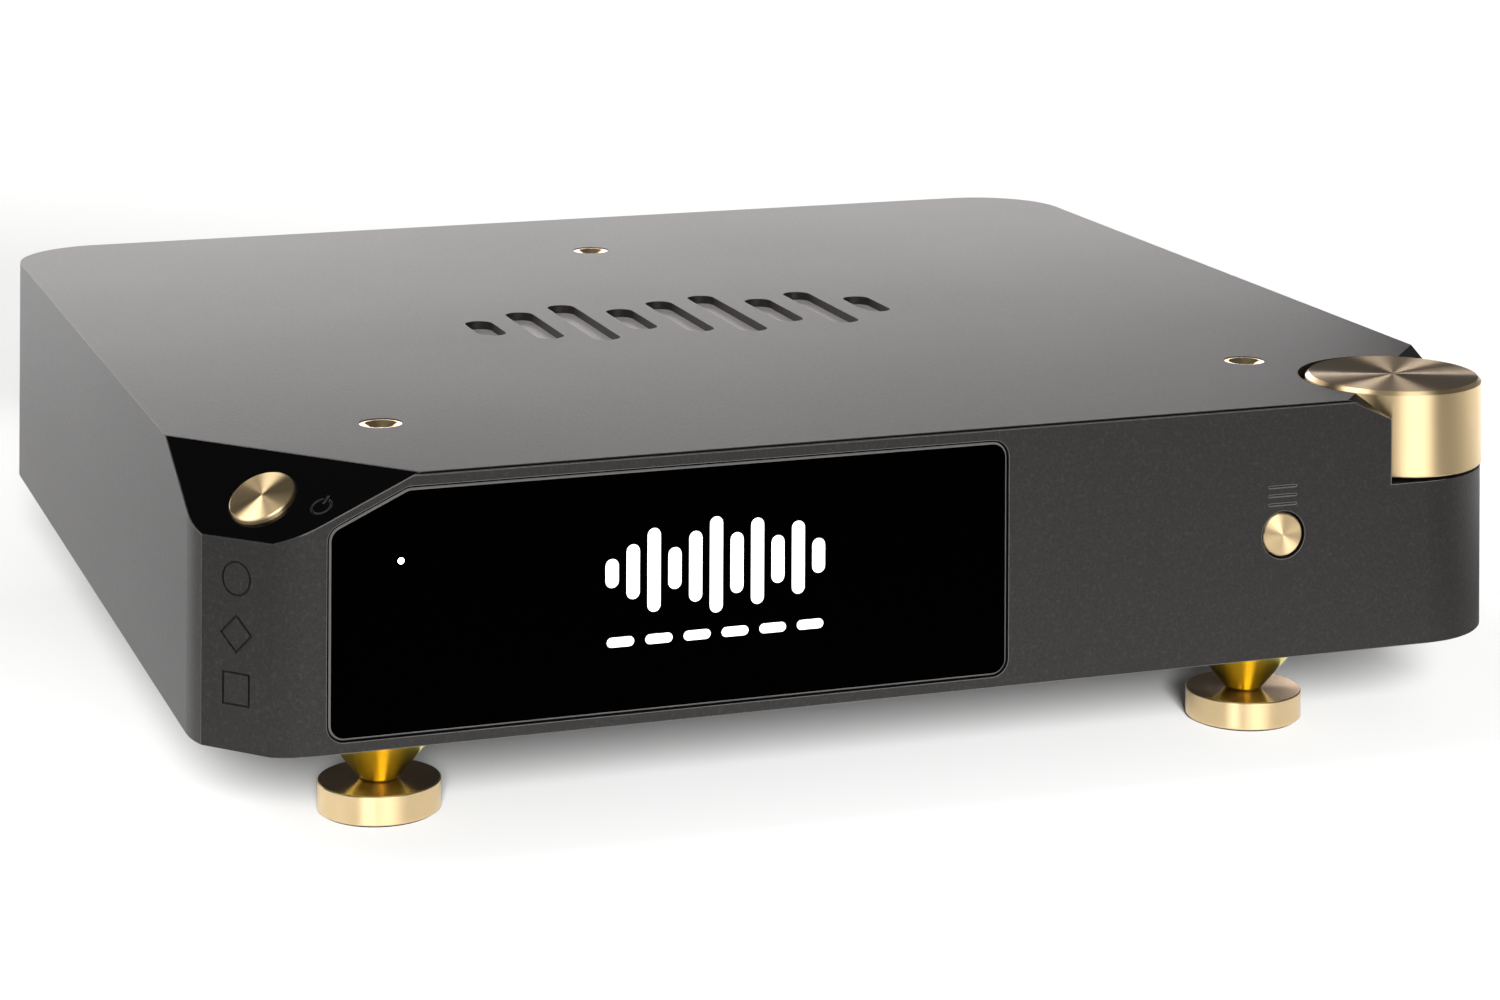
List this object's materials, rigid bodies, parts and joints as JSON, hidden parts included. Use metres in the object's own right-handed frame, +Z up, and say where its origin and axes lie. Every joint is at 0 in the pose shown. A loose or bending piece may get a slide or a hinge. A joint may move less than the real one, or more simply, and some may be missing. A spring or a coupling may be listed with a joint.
{
  "type": "desktop dac",
  "caption": "Flat desktop audio converter: milled case on spiked feet, display glass, corner volume knob, facet power button, rear sockets.",
  "frame": {"origin": "middle of the footprint on the table surface: centre of the bounding box in X and Y, Z = 0 at the underside of the foot pads", "axes": "+Z up, -Y towards the listener (front face), +X to the right seen from the front, so the volume knob is at +X"},
  "size_m": [0.321, 0.3094, 0.0896],
  "materials": {
    "shell_aluminium": "bead-blasted dark grey anodised",
    "front_aluminium": "bead-blasted darker grey anodised, fine grain",
    "plate_aluminium": "satin black anodised sheet",
    "bare_aluminium": "bare machined",
    "black_aluminium": "black anodised extrusion",
    "gloss_black": "piano black, sharp reflections",
    "display_glass": "black tinted cover glass",
    "brass": "fine turned, satin",
    "gold_plate": "gold plated",
    "felt_pad": "dark felt",
    "black_foam": "dull foam rubber",
    "black_plastic": "moulded, fine texture",
    "white_plastic": "smooth insulator",
    "cable_plastic": "ribbed flat cable",
    "light_pipe": "clear light guide, lit white",
    "black_steel": "black oxide",
    "plated_steel": "nickel plated",
    "socket_metal": "die-cast, black chrome",
    "circuit_board": "solder-masked laminate",
    "blue_board": "solder-masked laminate",
    "transformer_tape": "wound polyester tape",
    "capacitor_sleeve": "shrink sleeve",
    "fuse_glass": "clear glass cartridge"
  },
  "bodies": {
    "case": {"top_shell": "shell_aluminium", "front_panel": "front_aluminium", "control_plate": "gloss_black", "bottom_plate": "plate_aluminium", "rear_panel": "plate_aluminium", "pillars": "bare_aluminium", "top_screws": "brass", "bottom_screws": "black_steel", "rear_screws": "black_steel", "front_screws": "black_steel", "foot_spikes": "brass", "foot_discs": "brass", "foot_pads": "felt_pad", "display_glass": "display_glass", "display_gasket": "black_foam", "display_module": "circuit_board", "display_bracket": "bare_aluminium", "light_pipe": "light_pipe", "ir_receiver": "black_plastic", "power_switch": "black_plastic", "power_switch_board": "circuit_board", "button_board_screws": "plated_steel", "menu_switch": "black_plastic", "menu_switch_board": "circuit_board", "encoder_body": "plated_steel", "encoder_nut": "plated_steel", "power_inlet": "black_plastic", "inlet_blades": "plated_steel", "usb_socket": "plated_steel", "i2s_socket": "plated_steel", "optical_socket": "black_plastic", "rca_jacks": "gold_plate", "rca_insulators": "white_plastic", "xlr_input": "socket_metal", "xlr_outputs": "socket_metal", "xlr_pins": "gold_plate", "connector_screws": "black_steel", "transformers": "transformer_tape", "transformer_pads": "black_foam", "transformer_clamps": "plated_steel", "transformer_bolts": "plated_steel", "supply_board": "circuit_board", "filter_capacitors": "capacitor_sleeve", "heatsinks": "black_aluminium", "input_board": "circuit_board", "converter_board": "circuit_board", "ladder_modules": "blue_board", "board_standoffs": "brass", "board_screws": "plated_steel", "ribbon_cable": "cable_plastic"},
    "knob": {"volume_knob": "brass", "knob_set_screw": "black_steel", "encoder_shaft": "plated_steel"},
    "power_key": {"power_button": "brass"},
    "menu_key": {"menu_button": "brass"},
    "rocker": {"rocker_switch": "black_plastic"},
    "fuse_tray": {"fuse_drawer": "black_plastic", "fuse": "fuse_glass"},
    "shutter": {"optical_shutter": "black_plastic"},
    "latch": {"xlr_latch": "plated_steel"}
  },
  "joints": [
    {"name": "knob_turn", "type": "hinge", "parent": "case", "child": "knob", "pos_m": [0.1374, -0.1333, 0.08], "axis": [0, 0, 1], "continuous": true},
    {"name": "power_press", "type": "slide", "parent": "case", "child": "power_key", "axis": [0.3937, 0.3516, -0.8493], "range_m": [0, 0.0006]},
    {"name": "menu_press", "type": "slide", "parent": "case", "child": "menu_key", "axis": [0, 1, 0], "range_m": [0, 0.0006]},
    {"name": "mains_rocker", "type": "hinge", "parent": "case", "child": "rocker", "pos_m": [-0.109, 0.1406, 0.058], "axis": [1, 0, 0], "range_deg": [-16, 0]},
    {"name": "fuse_drawer_slide", "type": "slide", "parent": "case", "child": "fuse_tray", "axis": [0, 1, 0], "range_m": [0, 0.018]},
    {"name": "optical_shutter_swing", "type": "hinge", "parent": "case", "child": "shutter", "pos_m": [-0.044, 0.1457, 0.0718], "axis": [1, 0, 0], "range_deg": [-80, 0]},
    {"name": "latch_press", "type": "slide", "parent": "case", "child": "latch", "axis": [0, -1, 0], "range_m": [0, 0.0012]}
  ]
}
